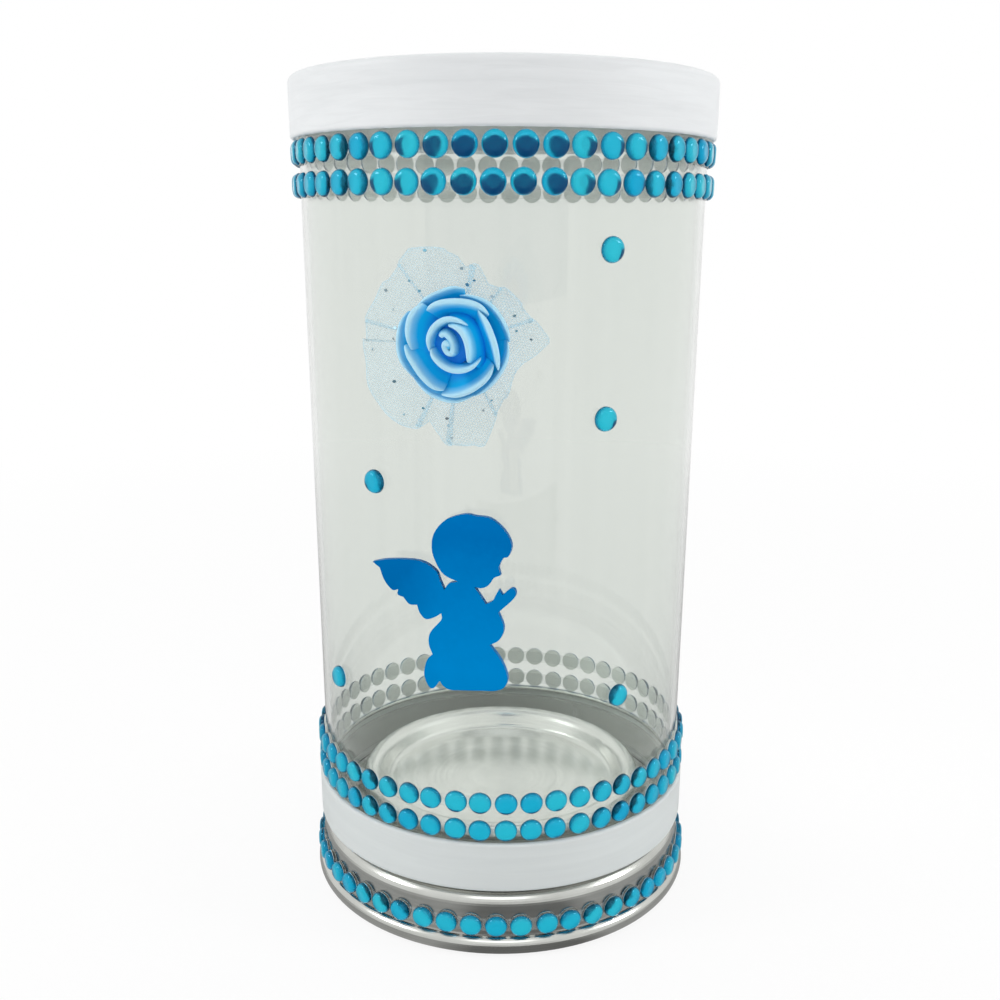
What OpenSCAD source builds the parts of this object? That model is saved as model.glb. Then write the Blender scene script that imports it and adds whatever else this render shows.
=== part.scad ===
// Clear tube jar with a lift-off tin lid, rows of flat-back stones, a foam rose on tulle and an angel plate.
// Millimetres. +Z is up, the tube's axis is Z, the front faces -Y, and Z = 0 is the surface it stands on.
// An azimuth is measured at the axis from the front, positive towards +X.

/* [Tube] */
// Outer diameter of the clear tube
tube_d = 90; // [84:1:100]
// Wall of the clear tube
tube_wall = 1.2; // [0.8:0.1:2]
// Length of the clear tube
tube_h = 173.3; // [160:0.1:220]

/* [Lid and bottom cap] */
// Outer diameter of the pressed caps over the tube
cap_over = 3.6; // [3.2:0.1:5]
// Height of the lid and of the bottom cap
cap_h = 12.5; // [10:0.1:16]
// Thickness of the tin sheet
sheet = 0.4; // [0.3:0.05:0.5]
// How far the bottom cap's middle is pressed up into the tube
plug_h = 10; // [4:0.5:12]
// How far the lid's middle is pressed down
lid_recess = 1.0; // [0.6:0.1:2]

/* [Pedestal] */
// Height of the pedestal
pedestal_h = 15.2; // [13:0.1:22]
// Outer diameter of the pedestal's wall over the tube
pedestal_over = 2.6; // [2.4:0.1:6]
// Height of the hem that it stands on
hem_h = 4.6; // [2.6:0.1:5]

/* [Stones] */
// Diameter of a stone
stone_d = 5.15; // [4:0.05:5.3]
// Height of a stone
stone_h = 1.6; // [1.2:0.1:2.2]
// Stones in one row round the tube
stones_per_row = 50; // [40:1:52]
// Thickness of the clear carrier strip under a row
strip_t = 0.2; // [0.1:0.05:0.4]

/* [Rose and tulle] */
// Azimuth of the rose
rose_azimuth = -11; // [-40:0.5:40]
// Height of the rose's middle above the table
rose_z = 138.7; // [110:0.1:150]
// Diameter across the rose's outer petals
rose_d = 21.9; // [16:0.1:24]
// Thickness of the foam sheet
foam_t = 1.2; // [0.8:0.1:1.5]
// Azimuth of the middle of the tulle
tulle_azimuth = -13; // [-40:0.5:40]
// Height of the middle of the tulle above the table
tulle_z = 136.9; // [110:0.1:150]

/* [Angel plate] */
// Azimuth of the line on which the flat plate touches the tube
angel_azimuth = -14; // [-30:0.5:30]
// Height of the figure's base above the table
angel_z = 66; // [50:0.1:90]
// Height of the figure
angel_h = 38.6; // [25:0.1:45]
// Lean of the figure in its own plane, in degrees
angel_lean = 4.8; // [-10:0.1:10]
// Thickness of the plate
angel_t = 1.2; // [0.8:0.1:3]

/* [Hidden] */

$fn = 96;
contact = 0.02;      // room between curved faces that touch
slide_gap = 0.3;     // room between the lid and what it slides over

tube_r = tube_d / 2;
cap_r = tube_r + cap_over / 2;
pedestal_r = tube_r + pedestal_over / 2;

glue_t = 0.9;                                    // layer between pedestal and bottom cap
cap_z = pedestal_h + glue_t;                     // outer face of the bottom cap
tube_z = cap_z + sheet;                          // the tube stands in the bottom cap
tube_top = tube_z + tube_h;
lid_top = tube_top + slide_gap + sheet;
lid_edge = lid_top - cap_h;

// Rows of stones: height of the middle and azimuth of one stone
top_upper_z = lid_edge - 2.9;
top_lower_z = top_upper_z - 6.6;
bottom_lower_z = cap_z + cap_h + 2.8;
bottom_upper_z = bottom_lower_z + 6.8;
pedestal_row_z = hem_h + 2.9;
top_upper_turn = 5.3;
top_lower_turn = 4.9;
bottom_upper_turn = 1.5;
bottom_lower_turn = 1.4;
pedestal_turn = 6.1;

// Loose stones: azimuth and height
right_top_at = [28.1, 156.2];
right_middle_at = [27.8, 123.1];
left_middle_at = [-36.3, 109.2];
left_low_at = [-55.9, 60.3];
right_low_at = [35.1, 61];

// ---- outlines ----

// Points of an arc about c, from angle a to angle b
function arc(c, r, a, b, n = 8) =
    [for (i = [0 : n]) let (t = a + (b - a) * i / n) [c.x + r * cos(t), c.y + r * sin(t)]];

function unit(v) = v / norm(v);
function left_of(v) = [-v.y, v.x];

// The closed section of a sheet of thickness t whose middle line is path
function side(path, i, d) =
    let (n = len(path) - 1,
         before = unit(path[max(i, 1)] - path[max(i, 1) - 1]),
         after = unit(path[min(i + 1, n)] - path[min(i + 1, n) - 1]),
         across = unit(left_of(before) + left_of(after)))
    path[i] + across * d / max(0.3, across * left_of(before));
function wall(path, t) = concat(
    [for (i = [0 : len(path) - 1]) side(path, i, t / 2)],
    [for (i = [len(path) - 1 : -1 : 0]) side(path, i, -t / 2)]);

// A smooth closed line through points [x, y, corner]. It turns sharply where corner is 1.
function at(p, i) = p[(i + len(p)) % len(p)];
function xy(p) = [p.x, p.y];
function blend(a, b, c, d, t) = 0.5 * (2 * b + (c - a) * t
    + (2 * a - 5 * b + 4 * c - d) * t * t + (3 * b - a - 3 * c + d) * t * t * t);
function smooth(p, steps = 5) = [for (i = [0 : len(p) - 1])
    let (b = xy(at(p, i)), c = xy(at(p, i + 1)),
         a = at(p, i)[2] == 1 ? 2 * b - c : xy(at(p, i - 1)),
         d = at(p, i + 1)[2] == 1 ? 2 * c - b : xy(at(p, i + 2)))
    for (k = [0 : steps - 1]) blend(a, b, c, d, k / steps)];

// ---- placing ----

// Stands children, drawn upright with their back on the plane y = 0, at distance r from the axis
module on_side(azimuth, z, r) {
    rotate([0, 0, azimuth]) translate([0, -r, z]) children();
}

// ---- tube, caps and pedestal ----

module clear_tube() {
    color([0.86, 0.9, 0.88, 0.35])
    translate([0, 0, tube_z]) difference() {
        cylinder(r = tube_r, h = tube_h);
        translate([0, 0, -1]) cylinder(r = tube_r - tube_wall, h = tube_h + 2);
    }
}

corner_r = 1.2;                                  // corner between a cap's skirt and its top
roll_r = (cap_over / 2 - slide_gap - sheet) / 2; // middle of the rolled-in edge

// Skirt and rim of a cap, as the middle line from the rolled edge to r_in, with its top face at Z = 0
function skirt(r_in) = let (r = cap_r - sheet / 2, edge = -cap_h + roll_r + sheet / 2) concat(
    arc([r - roll_r, edge], roll_r, 150, 360, 14),
    arc([r - corner_r, -sheet / 2 - corner_r], corner_r, 0, 90, 6),
    [[r_in, -sheet / 2]]);

// The lid has a shallow round recess with one raised ring in it
recess_r = 41;
ring_r = 34;
module lid() {
    floor_z = -sheet / 2 - lid_recess;
    path = concat(
        skirt(recess_r + 0.6),
        [[recess_r, -sheet / 2 - 0.25], [recess_r - 0.5, floor_z + 0.25], [recess_r - 1.1, floor_z]],
        [for (a = [0 : 15 : 180]) [ring_r + 1.8 * cos(a), floor_z + 0.7 * sin(a)]],
        [[0, floor_z]]);
    color([0.93, 0.95, 0.96])
    translate([0, 0, lid_top]) rotate_extrude() polygon(wall(path, sheet));
}

// The bottom cap is the same skirt upside down, and its middle is pressed up into a plug with a rounded brim
plug_foot_r = 38.6;
brim_r = 33.4;
brim_w = 2.6;
brim_drop = 4.6;                                 // the plug's floor lies this far below the brim
brim_lean = 25;                                  // lean of the slope between them, in degrees
floor_turn = 1.8;                                // rounding between slope and floor
module bottom_cap() {
    top = -sheet / 2 - plug_h;
    run = (brim_drop - (floor_turn + brim_w) * (1 - sin(brim_lean))) * tan(brim_lean);
    floor_r = brim_r - (brim_w + floor_turn) * cos(brim_lean) - run;
    path = concat(
        skirt(plug_foot_r + 2),
        arc([plug_foot_r + 1, -sheet / 2 - 1], 1, 90, 150, 5),
        arc([brim_r, top + brim_w], brim_w, 0, brim_lean - 180, 16),
        arc([floor_r, top + brim_drop - floor_turn], floor_turn, brim_lean, 90, 7),
        [[0, top + brim_drop]]);
    color([0.84, 0.86, 0.86])
    translate([0, 0, cap_z]) mirror([0, 0, 1]) rotate_extrude() polygon(wall(path, sheet));
}

// Bead of glue between the bottom cap's skirt and the tube
module cap_glue() {
    color([0.9, 0.88, 0.8, 0.8])
    translate([0, 0, tube_z + 2]) difference() {
        cylinder(r = cap_r - sheet - contact, h = 7);
        translate([0, 0, -1]) cylinder(r = tube_r + contact, h = 9);
    }
}

shoulder_r = 3.2;                                // rounding between the pedestal's top and wall
hem_r = hem_h / 2 - sheet / 2;                   // middle line of the rolled hem
hem_out = 1.9;                                   // how far the hem stands out from the wall
hem_from = 80;                                   // where the roll meets the wall, in degrees
hem_step = (hem_from + 90) / 16.5;               // the half puts a flat step of the hem on the table
module pedestal() {
    r = pedestal_r - sheet / 2;
    low = hem_r * cos(hem_step / 2) + sheet / 2;
    path = concat(
        arc([r + hem_out - hem_r, low], hem_r, hem_from - 27 * hem_step, hem_from, 27),
        [[r, hem_h + 0.3]],
        arc([r - shoulder_r, pedestal_h - sheet / 2 - shoulder_r], shoulder_r, 0, 90, 10),
        [[0, pedestal_h - sheet / 2]]);
    color([0.74, 0.73, 0.7])
    rotate_extrude() polygon(wall(path, sheet));
}

// Ring of contact glue between the pedestal and the bottom cap
module pedestal_glue() {
    color([0.86, 0.8, 0.6])
    translate([0, 0, pedestal_h]) difference() {
        cylinder(r = 43, h = glue_t);
        translate([0, 0, -1]) cylinder(r = plug_foot_r + 1.5, h = glue_t + 2);
    }
}

// ---- stones ----

// A flat-back stone with its back on y = 0, looking towards -Y
girdle = 0.4;
table_share = 0.52;
module stone() {
    rotate([90, 0, 0]) {
        cylinder(d = stone_d, h = girdle, $fn = 32);
        translate([0, 0, girdle])
            cylinder(d1 = stone_d, d2 = stone_d * table_share, h = stone_h - girdle, $fn = 32);
    }
}

module strip(r, z) {
    w = stone_d * 0.6;
    color([0.9, 0.93, 0.93, 0.5])
    translate([0, 0, z - w / 2]) difference() {
        cylinder(r = r + strip_t, h = w);
        translate([0, 0, -1]) cylinder(r = r + contact, h = w + 2);
    }
}

module stone_row(r, z, turn) {
    color([0.2, 0.61, 0.72])
    for (i = [0 : stones_per_row - 1])
        on_side(turn + i * 360 / stones_per_row, z, r + strip_t + contact) stone();
}

module loose_stone(place) {
    color([0.2, 0.61, 0.72])
    on_side(place.x, place.y, tube_r + contact) stone();
}

// ---- tulle and rose ----

tulle_t = 0.4;
tulle_r = tube_r + 0.6;                          // inner side of the tulle, on its dab of glue

// A gathered scrap of net: x is the length along the curve, y the height, both from its middle
tulle_outline = [[-8.5, 19.5, 1], [-3.5, 19.8, 0], [1.5, 18.8, 0], [3, 16.5, 1], [4, 17, 1], [5.8, 16.6, 1],
    [7.5, 13.8, 0], [12.2, 12.4, 0], [16, 8.2, 0], [19.6, 2.6, 1], [17.5, 0.2, 0], [13.8, -2.2, 0],
    [11.5, -8, 0], [9.5, -12, 0], [8.5, -14.5, 0], [7, -18.4, 1], [3, -19.3, 0], [-0.3, -19, 1],
    [-3, -16.8, 0], [-4.7, -14.4, 1], [-6.6, -15.6, 0], [-11.5, -14.9, 0], [-16.8, -11.3, 0],
    [-19.5, -6.8, 0], [-20.2, -0.5, 0], [-19.4, 5.3, 0], [-16, 10.7, 0], [-11.8, 16, 0]];

module tulle() {
    deg = 180 / PI / tulle_r;
    flat = [for (p = smooth(tulle_outline, 3)) [tulle_r * sin(p.x * deg), p.y]];
    color([0.78, 0.88, 0.9, 0.5])
    intersection() {
        on_side(tulle_azimuth, tulle_z, tulle_r + 5)
            rotate([90, 0, 0]) translate([0, 0, -20]) linear_extrude(height = 30) polygon(flat);
        translate([0, 0, tulle_z - 25]) difference() {
            cylinder(r = tulle_r + tulle_t, h = 50);
            translate([0, 0, -1]) cylinder(r = tulle_r, h = 52);
        }
    }
}

// Dab of hot glue that holds the tulle and the rose to the tube
module rose_glue() {
    color([0.92, 0.9, 0.84, 0.8])
    difference() {
        on_side(rose_azimuth, rose_z, tube_r - 1) rotate([90, 0, 0]) cylinder(r = 4, h = 3, $fn = 48);
        translate([0, 0, rose_z - 6]) cylinder(r = tube_r + contact, h = 12);
        translate([0, 0, rose_z - 6]) difference() {
            cylinder(r = tube_r + 9, h = 12);
            translate([0, 0, -1]) cylinder(r = tulle_r - contact, h = 14);
        }
    }
}

rose_r = tulle_r + tulle_t + contact;            // the rose's back, on the tulle

// Stands a layer of the rose in place. Its own axis is Z.
module on_rose(lift = 0) {
    on_side(rose_azimuth, rose_z, rose_r + lift) rotate([90, 0, 0]) children();
}

// One foam layer: a small disc with cupped petals round it. Each petal's clockwise end lies over the next petal.
module petals(count, turn, foot, mouth, height, cover, slip) {
    flare = mouth - foot;
    line = [[foot, foam_t / 2], [foot + flare * 0.55, foam_t / 2 + height * 0.05],
        [foot + flare * 0.85, height * 0.4], [foot + flare * 0.96, height * 0.72], [mouth, height]];
    cylinder(r = foot + 0.1, h = foam_t, $fn = 48);
    for (i = [0 : count - 1])
        rotate([0, 0, turn + i * 360 / count]) translate([0, -slip, 0])
            rotate([0, 0, -cover / 2]) rotate_extrude(angle = cover) polygon(wall(line, foam_t));
}

module rose_outer_petals() {
    color([0.42, 0.72, 0.92])
    on_rose() petals(5, 42, 3.4, rose_d / 2 - 0.9, 5, 76, 0.6);
}

module rose_middle_petals() {
    color([0.2, 0.62, 0.88])
    on_rose(foam_t) petals(5, 21, 2.6, rose_d * 0.35, 5.6, 76, 0.5);
}

module rose_inner_petals() {
    color([0.5, 0.76, 0.93])
    on_rose(2 * foam_t) petals(3, 40, 1.95, rose_d * 0.225, 6, 124, 0.3);
}

// The bud is one strip of foam rolled up
bud_turns = 1;
module rose_bud() {
    steps = 24;
    pitch = foam_t + 0.1;
    coil = [for (i = [0 : steps]) let (a = i / steps * bud_turns * 360, r = foam_t / 2 + pitch * a / 360)
        [r * cos(a), r * sin(a)]];
    color([0.6, 0.8, 0.94])
    on_rose(3 * foam_t + 0.15) linear_extrude(height = 5.4) polygon(wall(coil, foam_t));
}

// ---- angel plate ----

// A kneeling cherub in outline with folded hands: x and y from the middle of its base, 38 high before scaling
figure = [[-2, 0, 0], [3, 0, 0], [5.6, 0.1, 0], [7.5, 1, 0], [8.2, 3.2, 0], [7.2, 6.7, 0], [5, 10.2, 1],
    [7.2, 11.4, 0], [8.3, 14, 0], [7.4, 17.3, 1], [11, 20.4, 0], [11.3, 22, 0], [10.4, 22.4, 0], [8.6, 21, 1],
    [7.9, 22.2, 1], [6.4, 19.7, 1], [4.9, 19.1, 1], [2.8, 22.8, 1], [4.2, 22.5, 0], [5.8, 23.1, 0],
    [7, 24.6, 0], [8.5, 25.2, 1], [8.3, 27, 0], [9.4, 28.9, 1], [10.5, 29.2, 0], [11.3, 31.6, 0],
    [10, 34.6, 0], [7.4, 37, 0], [4.4, 37.6, 1], [2, 38, 0], [-2, 36.9, 0], [-4.7, 34.2, 0],
    [-5.5, 31, 0], [-4.9, 28, 0], [-3.4, 25.4, 0], [-0.6, 23.9, 1], [-2.6, 23.5, 0], [-3.7, 22.1, 1],
    [-4.4, 24.2, 0], [-5.2, 26.4, 0], [-8.5, 28.4, 0], [-14.8, 28.8, 0], [-18.6, 28.3, 1], [-17.2, 27, 1],
    [-16.5, 24.3, 0], [-15, 22.2, 0], [-13.7, 22.3, 1], [-13.9, 21.2, 0], [-12.7, 20.6, 1], [-11.6, 19.1, 0],
    [-9.9, 18.9, 1], [-9.5, 17.2, 0], [-8.3, 15.8, 0], [-6.4, 16.2, 0], [-4.8, 17.1, 1], [-5, 15.6, 0],
    [-7.6, 12.9, 0], [-8.2, 10.4, 0], [-7.6, 8, 1], [-9, 6.6, 0], [-9.9, 3.6, 0], [-9.3, 1, 0], [-8.2, 0.3, 0],
    [-6.6, 2, 1], [-6, 1, 0], [-4.6, 0.1, 0]];

angel_back = tube_r + 0.8;                       // back of the plate, on its pad
angel_x = 5;                                     // middle of its base from the line of touch

module angel_plate() {
    k = angel_h / 38;
    color([0, 0.45, 0.75])
    on_side(angel_azimuth, angel_z, angel_back) rotate([90, 0, 0])
        translate([angel_x, 0, 0]) rotate([0, 0, angel_lean])
            linear_extrude(height = angel_t) polygon([for (p = smooth(figure, 4)) p * k]);
}

// Foam tape between the flat plate and the round tube
module angel_pad() {
    w = 6;
    h = angel_h / 2;
    color([0.92, 0.92, 0.9])
    difference() {
        on_side(angel_azimuth, angel_z, angel_back) rotate([0, angel_lean, 0])
            translate([-w / 2 + 1, 0, 2]) cube([w, 2, h * 0.8]);
        translate([0, 0, angel_z - 10]) cylinder(r = tube_r + contact, h = angel_h + 20, $fn = 360);
    }
}

// ---- the whole ----

clear_tube();
bottom_cap();
cap_glue();
pedestal();
pedestal_glue();
lid();
strip(tube_r, top_upper_z);  // strip_top_upper
strip(tube_r, top_lower_z);  // strip_top_lower
strip(tube_r, bottom_upper_z);  // strip_bottom_upper
strip(tube_r, bottom_lower_z);  // strip_bottom_lower
strip(pedestal_r, pedestal_row_z);  // strip_pedestal
stone_row(tube_r, top_upper_z, top_upper_turn);  // stones_top_upper
stone_row(tube_r, top_lower_z, top_lower_turn);  // stones_top_lower
stone_row(tube_r, bottom_upper_z, bottom_upper_turn);  // stones_bottom_upper
stone_row(tube_r, bottom_lower_z, bottom_lower_turn);  // stones_bottom_lower
stone_row(pedestal_r, pedestal_row_z, pedestal_turn);  // stones_pedestal
loose_stone(right_top_at);  // stone_right_top
loose_stone(right_middle_at);  // stone_right_middle
loose_stone(left_middle_at);  // stone_left_middle
loose_stone(left_low_at);  // stone_left_low
loose_stone(right_low_at);  // stone_right_low
tulle();
rose_glue();
rose_outer_petals();
rose_middle_petals();
rose_inner_petals();
rose_bud();
angel_plate();
angel_pad();
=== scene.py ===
# Clear tube jar with a white lift-off lid, rows of blue stones, a foam rose on tulle and an angel plate.
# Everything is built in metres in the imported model's frame. In the pieces' dictionaries sizes are
# millimetres and turns are degrees. The surroundings are in metres.

import math
import random

import bpy
from mathutils import Matrix, Vector


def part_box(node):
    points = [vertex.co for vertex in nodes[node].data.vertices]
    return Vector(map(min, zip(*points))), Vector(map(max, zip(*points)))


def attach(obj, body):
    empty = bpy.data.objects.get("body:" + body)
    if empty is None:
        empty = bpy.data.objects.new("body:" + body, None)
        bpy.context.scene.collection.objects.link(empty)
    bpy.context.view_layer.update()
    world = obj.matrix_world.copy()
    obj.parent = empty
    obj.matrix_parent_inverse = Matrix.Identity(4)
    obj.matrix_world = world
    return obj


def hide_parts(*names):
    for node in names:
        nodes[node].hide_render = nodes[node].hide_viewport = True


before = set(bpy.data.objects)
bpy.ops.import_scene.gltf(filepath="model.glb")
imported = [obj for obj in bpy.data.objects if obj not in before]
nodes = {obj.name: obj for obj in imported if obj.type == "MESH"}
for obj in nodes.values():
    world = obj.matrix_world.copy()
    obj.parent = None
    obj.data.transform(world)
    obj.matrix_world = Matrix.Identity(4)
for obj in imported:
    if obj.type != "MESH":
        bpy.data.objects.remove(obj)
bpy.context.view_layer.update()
mm = 0.001
print("frame loaded:", len(nodes), "parts")


def sideFrame(azimuth, height, radius):  # x runs right, y up and z out, at a place on the side of the jar
    turn = math.radians(azimuth)
    right = Vector((math.cos(turn), math.sin(turn), 0))
    out = Vector((math.sin(turn), -math.cos(turn), 0))
    place = Matrix((right, Vector((0, 0, 1)), out)).transposed().to_4x4()
    place.translation = (out * radius + Vector((0, 0, height))) * mm
    return place


def wrapPoint(azimuth, height, radius):  # a point on a cylinder round the jar's axis
    turn = math.radians(azimuth)
    return Vector((math.sin(turn) * radius, -math.cos(turn) * radius, height)) * mm


def outerRadius(name):
    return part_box(name)[1].x / mm


def midHeight(name):
    low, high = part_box(name)
    return (low.z + high.z) / 2 / mm


def addObject(name, data):
    made = bpy.data.objects.new(name, data)
    bpy.context.scene.collection.objects.link(made)
    return made


def makePiece(name, points, faces, finishes, smooth=False, body="jar"):
    mesh = bpy.data.meshes.new(name)
    mesh.from_pydata(points, [], faces)
    for finish in finishes:
        mesh.materials.append(finish)
    mesh.polygons.foreach_set("use_smooth", [smooth] * len(mesh.polygons))
    mesh.update()
    piece = addObject(name, mesh)
    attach(piece, body)
    return piece


def storeValues(piece, name, values):  # one number for each point, for a material to read
    layer = piece.data.attributes.new(name, "FLOAT", "POINT")
    layer.data.foreach_set("value", values)


def closedRings(levels, sides, flat=1.0):  # a solid through rings of radius and height, closed at both ends
    points = []
    for radius, z in levels:
        for i in range(sides):
            turn = 2 * math.pi * i / sides
            points.append((radius * math.cos(turn), radius * flat * math.sin(turn), z))
    top = sides * (len(levels) - 1)
    faces = [tuple(reversed(range(sides))), tuple(range(top, top + sides))]
    for start in range(0, top, sides):
        for i in range(sides):
            a, b = start + i, start + (i + 1) % sides
            faces.append((a, b, b + sides, a + sides))
    return points, faces


def onCurve(a, b, c, d, t):  # the place t of the way from b to c, on a smooth line from a to d
    return 0.5 * (2 * b + (c - a) * t + (2 * a - 5 * b + 4 * c - d) * t * t
                  + (3 * b - a - 3 * c + d) * t * t * t)


def feed(tree, socket, value):  # a link where value is another node's socket, else a plain setting
    if isinstance(value, bpy.types.NodeSocket):
        tree.links.new(value, socket)
    else:
        socket.default_value = value


def addNode(tree, kind, inputs=None, **settings):
    made = tree.nodes.new(kind)
    for key, value in settings.items():
        setattr(made, key, value)
    for socket, value in (inputs or {}).items():
        feed(tree, made.inputs[socket], value)
    return made


def calc(tree, operation, first, second=0.0, third=0.0):
    made = addNode(tree, "ShaderNodeMath", {0: first, 1: second, 2: third}, operation=operation)
    return made.outputs[0]


def ramp(tree, value, low, high, fromLow=0.0, fromHigh=1.0):
    made = addNode(tree, "ShaderNodeMapRange", {
        "Value": value, "From Min": fromLow, "From Max": fromHigh, "To Min": low, "To Max": high})
    return made.outputs[0]


def mixValues(tree, share, first, second):  # share of the first value and the rest of the second
    return calc(tree, "MULTIPLY_ADD", first, share, calc(tree, "MULTIPLY", second, 1 - share))


def wanderFrom(tree, value, grain, amount):  # the value, moved up and down by the grain
    return calc(tree, "MULTIPLY_ADD", calc(tree, "SUBTRACT", grain, 0.5), amount, value)


def blendColour(tree, factor, first, second):
    made = addNode(tree, "ShaderNodeMix", {0: factor}, data_type="RGBA")
    for number, colour in ((6, first), (7, second)):  # the colour sockets of a Mix node
        linked = isinstance(colour, bpy.types.NodeSocket)
        feed(tree, made.inputs[number], colour if linked else (*colour, 1))
    return made.outputs[2]


toneSpan = (0.35, 0.65)  # where nearly all of a noise lies


def toneColour(tree, tone, first, second):
    return blendColour(tree, ramp(tree, tone, 0.0, 1.0, *toneSpan), first, second)


def split(tree, vector):
    return addNode(tree, "ShaderNodeSeparateXYZ", {0: vector}).outputs


def objectPlace(tree):
    return addNode(tree, "ShaderNodeTexCoord").outputs["Object"]


def stored(tree, name):  # a value that storeValues put on the points
    return addNode(tree, "ShaderNodeAttribute", attribute_name=name).outputs["Fac"]


def newFinish(name):
    finish = bpy.data.materials.new(name)
    finish.use_nodes = True
    tree = finish.node_tree
    surface = tree.nodes["Principled BSDF"]
    return finish, tree, surface


def bumpFrom(tree, surface, height, strength, distance):
    made = addNode(tree, "ShaderNodeBump", {
        "Height": height, "Strength": strength, "Distance": distance * mm})
    tree.links.new(made.outputs[0], surface.inputs["Normal"])


def newGroup(name, inputs, outputs):
    group = bpy.data.node_groups.new(name, "ShaderNodeTree")
    for label, value in inputs.items():
        socket = group.interface.new_socket(label, in_out="INPUT", socket_type="NodeSocketFloat")
        socket.default_value = value
    for label in outputs:
        group.interface.new_socket(label, in_out="OUTPUT", socket_type="NodeSocketFloat")
    start = group.nodes.new("NodeGroupInput")
    end = group.nodes.new("NodeGroupOutput")
    return group, start.outputs, end.inputs, objectPlace(group)


def useGroup(tree, group, **values):
    made = addNode(tree, "ShaderNodeGroup", node_tree=group)
    for label, value in values.items():
        made.inputs[label].default_value = value
    return made.outputs


topFacing = 0.7  # how far up a face looks where it counts as a top


def makeBrushMarks():  # wavy strokes that run round a wall, and straight across a top
    group, given, put, place = newGroup("brushMarks", {"Along": 60.0, "Across": 700.0}, ["Tone", "Height"])
    at = split(group, place)
    facing = split(group, addNode(group, "ShaderNodeNewGeometry").outputs["Normal"])
    onTop = calc(group, "GREATER_THAN", calc(group, "ABSOLUTE", facing[2]), topFacing)
    depthRate = calc(group, "ADD", given["Along"], calc(group, "MULTIPLY", onTop, given["Across"]))
    strokes = addNode(group, "ShaderNodeCombineXYZ", {
        0: calc(group, "MULTIPLY", at[0], given["Along"]),
        1: calc(group, "MULTIPLY", at[1], depthRate),
        2: calc(group, "MULTIPLY", at[2], given["Across"])}).outputs[0]
    streak = addNode(group, "ShaderNodeTexNoise", {
        "Vector": strokes, "Scale": 1.0, "Detail": 4.0, "Roughness": 0.55, "Distortion": 0.9}).outputs[0]
    patch = addNode(group, "ShaderNodeTexNoise", {
        "Vector": strokes, "Scale": 0.3, "Detail": 2.0, "Distortion": 0.6}).outputs[0]
    group.links.new(mixValues(group, 0.5, patch, streak), put["Tone"])
    group.links.new(streak, put["Height"])
    return group


def axisDistance(tree, at):  # how far a place is from the jar's axis
    squares = calc(tree, "ADD", calc(tree, "POWER", at[0], 2.0), calc(tree, "POWER", at[1], 2.0))
    return calc(tree, "SQRT", squares)


def makeSpunMarks():  # fine rings that follow the turn of a pressed or spun sheet
    group, given, put, place = newGroup("spunMarks", {"Rings": 1500.0, "Drift": 30.0}, ["Tone", "Height"])
    at = split(group, place)
    lanes = addNode(group, "ShaderNodeCombineXYZ", {
        0: calc(group, "MULTIPLY", calc(group, "ADD", axisDistance(group, at), at[2]), given["Rings"]),
        1: calc(group, "MULTIPLY", at[0], given["Drift"]),
        2: calc(group, "MULTIPLY", at[1], given["Drift"])}).outputs[0]
    rings = addNode(group, "ShaderNodeTexNoise", {
        "Vector": lanes, "Scale": 1.0, "Detail": 3.0, "Roughness": 0.55}).outputs[0]
    clouds = addNode(group, "ShaderNodeTexNoise", {"Vector": place, "Scale": 90.0, "Detail": 3.0}).outputs[0]
    group.links.new(mixValues(group, 0.5, clouds, rings), put["Tone"])
    group.links.new(rings, put["Height"])
    return group


paintEdge = {"side": 0.06, "top": 0.04}  # half the width over which paint ends


def makePaintReach():  # 1 where the outside of a pressing is painted, 0 on its bare inside
    group, given, put, place = newGroup("paintReach", {"Radius": 0.0465, "Above": 1.0}, ["Mask"])
    at = split(group, place)
    side, top = paintEdge["side"] * mm, paintEdge["top"] * mm
    past = calc(group, "SUBTRACT", axisDistance(group, at), given["Radius"])
    higher = calc(group, "SUBTRACT", at[2], given["Above"])
    outside = ramp(group, past, 0.0, 1.0, -side, side)
    above = ramp(group, higher, 0.0, 1.0, -top, top)
    group.links.new(calc(group, "MAXIMUM", outside, above), put["Mask"])
    return group


wideShare = 0.6  # of the wide clouds in the fine grain's tone


def makeFineGrain():  # small uneven grain, for foam, glue, film, stones and rubbed metal
    group, given, put, place = newGroup("fineGrain", {"Scale": 2000.0}, ["Tone", "Height"])
    grain = addNode(group, "ShaderNodeTexNoise", {
        "Vector": place, "Scale": given["Scale"], "Detail": 2.0, "Roughness": 0.6}).outputs[0]
    wide = addNode(group, "ShaderNodeTexNoise", {"Vector": place, "Scale": 160.0, "Detail": 2.0}).outputs[0]
    group.links.new(mixValues(group, wideShare, wide, grain), put["Tone"])
    group.links.new(grain, put["Height"])
    return group


def makeDrawLines():  # faint lines down a drawn tube
    group, given, put, place = newGroup("drawLines", {"Across": 260.0, "Down": 3.0}, ["Tone"])
    at = split(group, place)
    stretched = addNode(group, "ShaderNodeCombineXYZ", {
        0: calc(group, "MULTIPLY", at[0], given["Across"]),
        1: calc(group, "MULTIPLY", at[1], given["Across"]),
        2: calc(group, "MULTIPLY", at[2], given["Down"])}).outputs[0]
    lines = addNode(group, "ShaderNodeTexNoise", {"Vector": stretched, "Scale": 1.0, "Detail": 2.0})
    group.links.new(lines.outputs[0], put["Tone"])
    return group


brushMarks = makeBrushMarks()
spunMarks = makeSpunMarks()
paintReach = makePaintReach()
fineGrain = makeFineGrain()
drawLines = makeDrawLines()
print("shared effects built")


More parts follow.
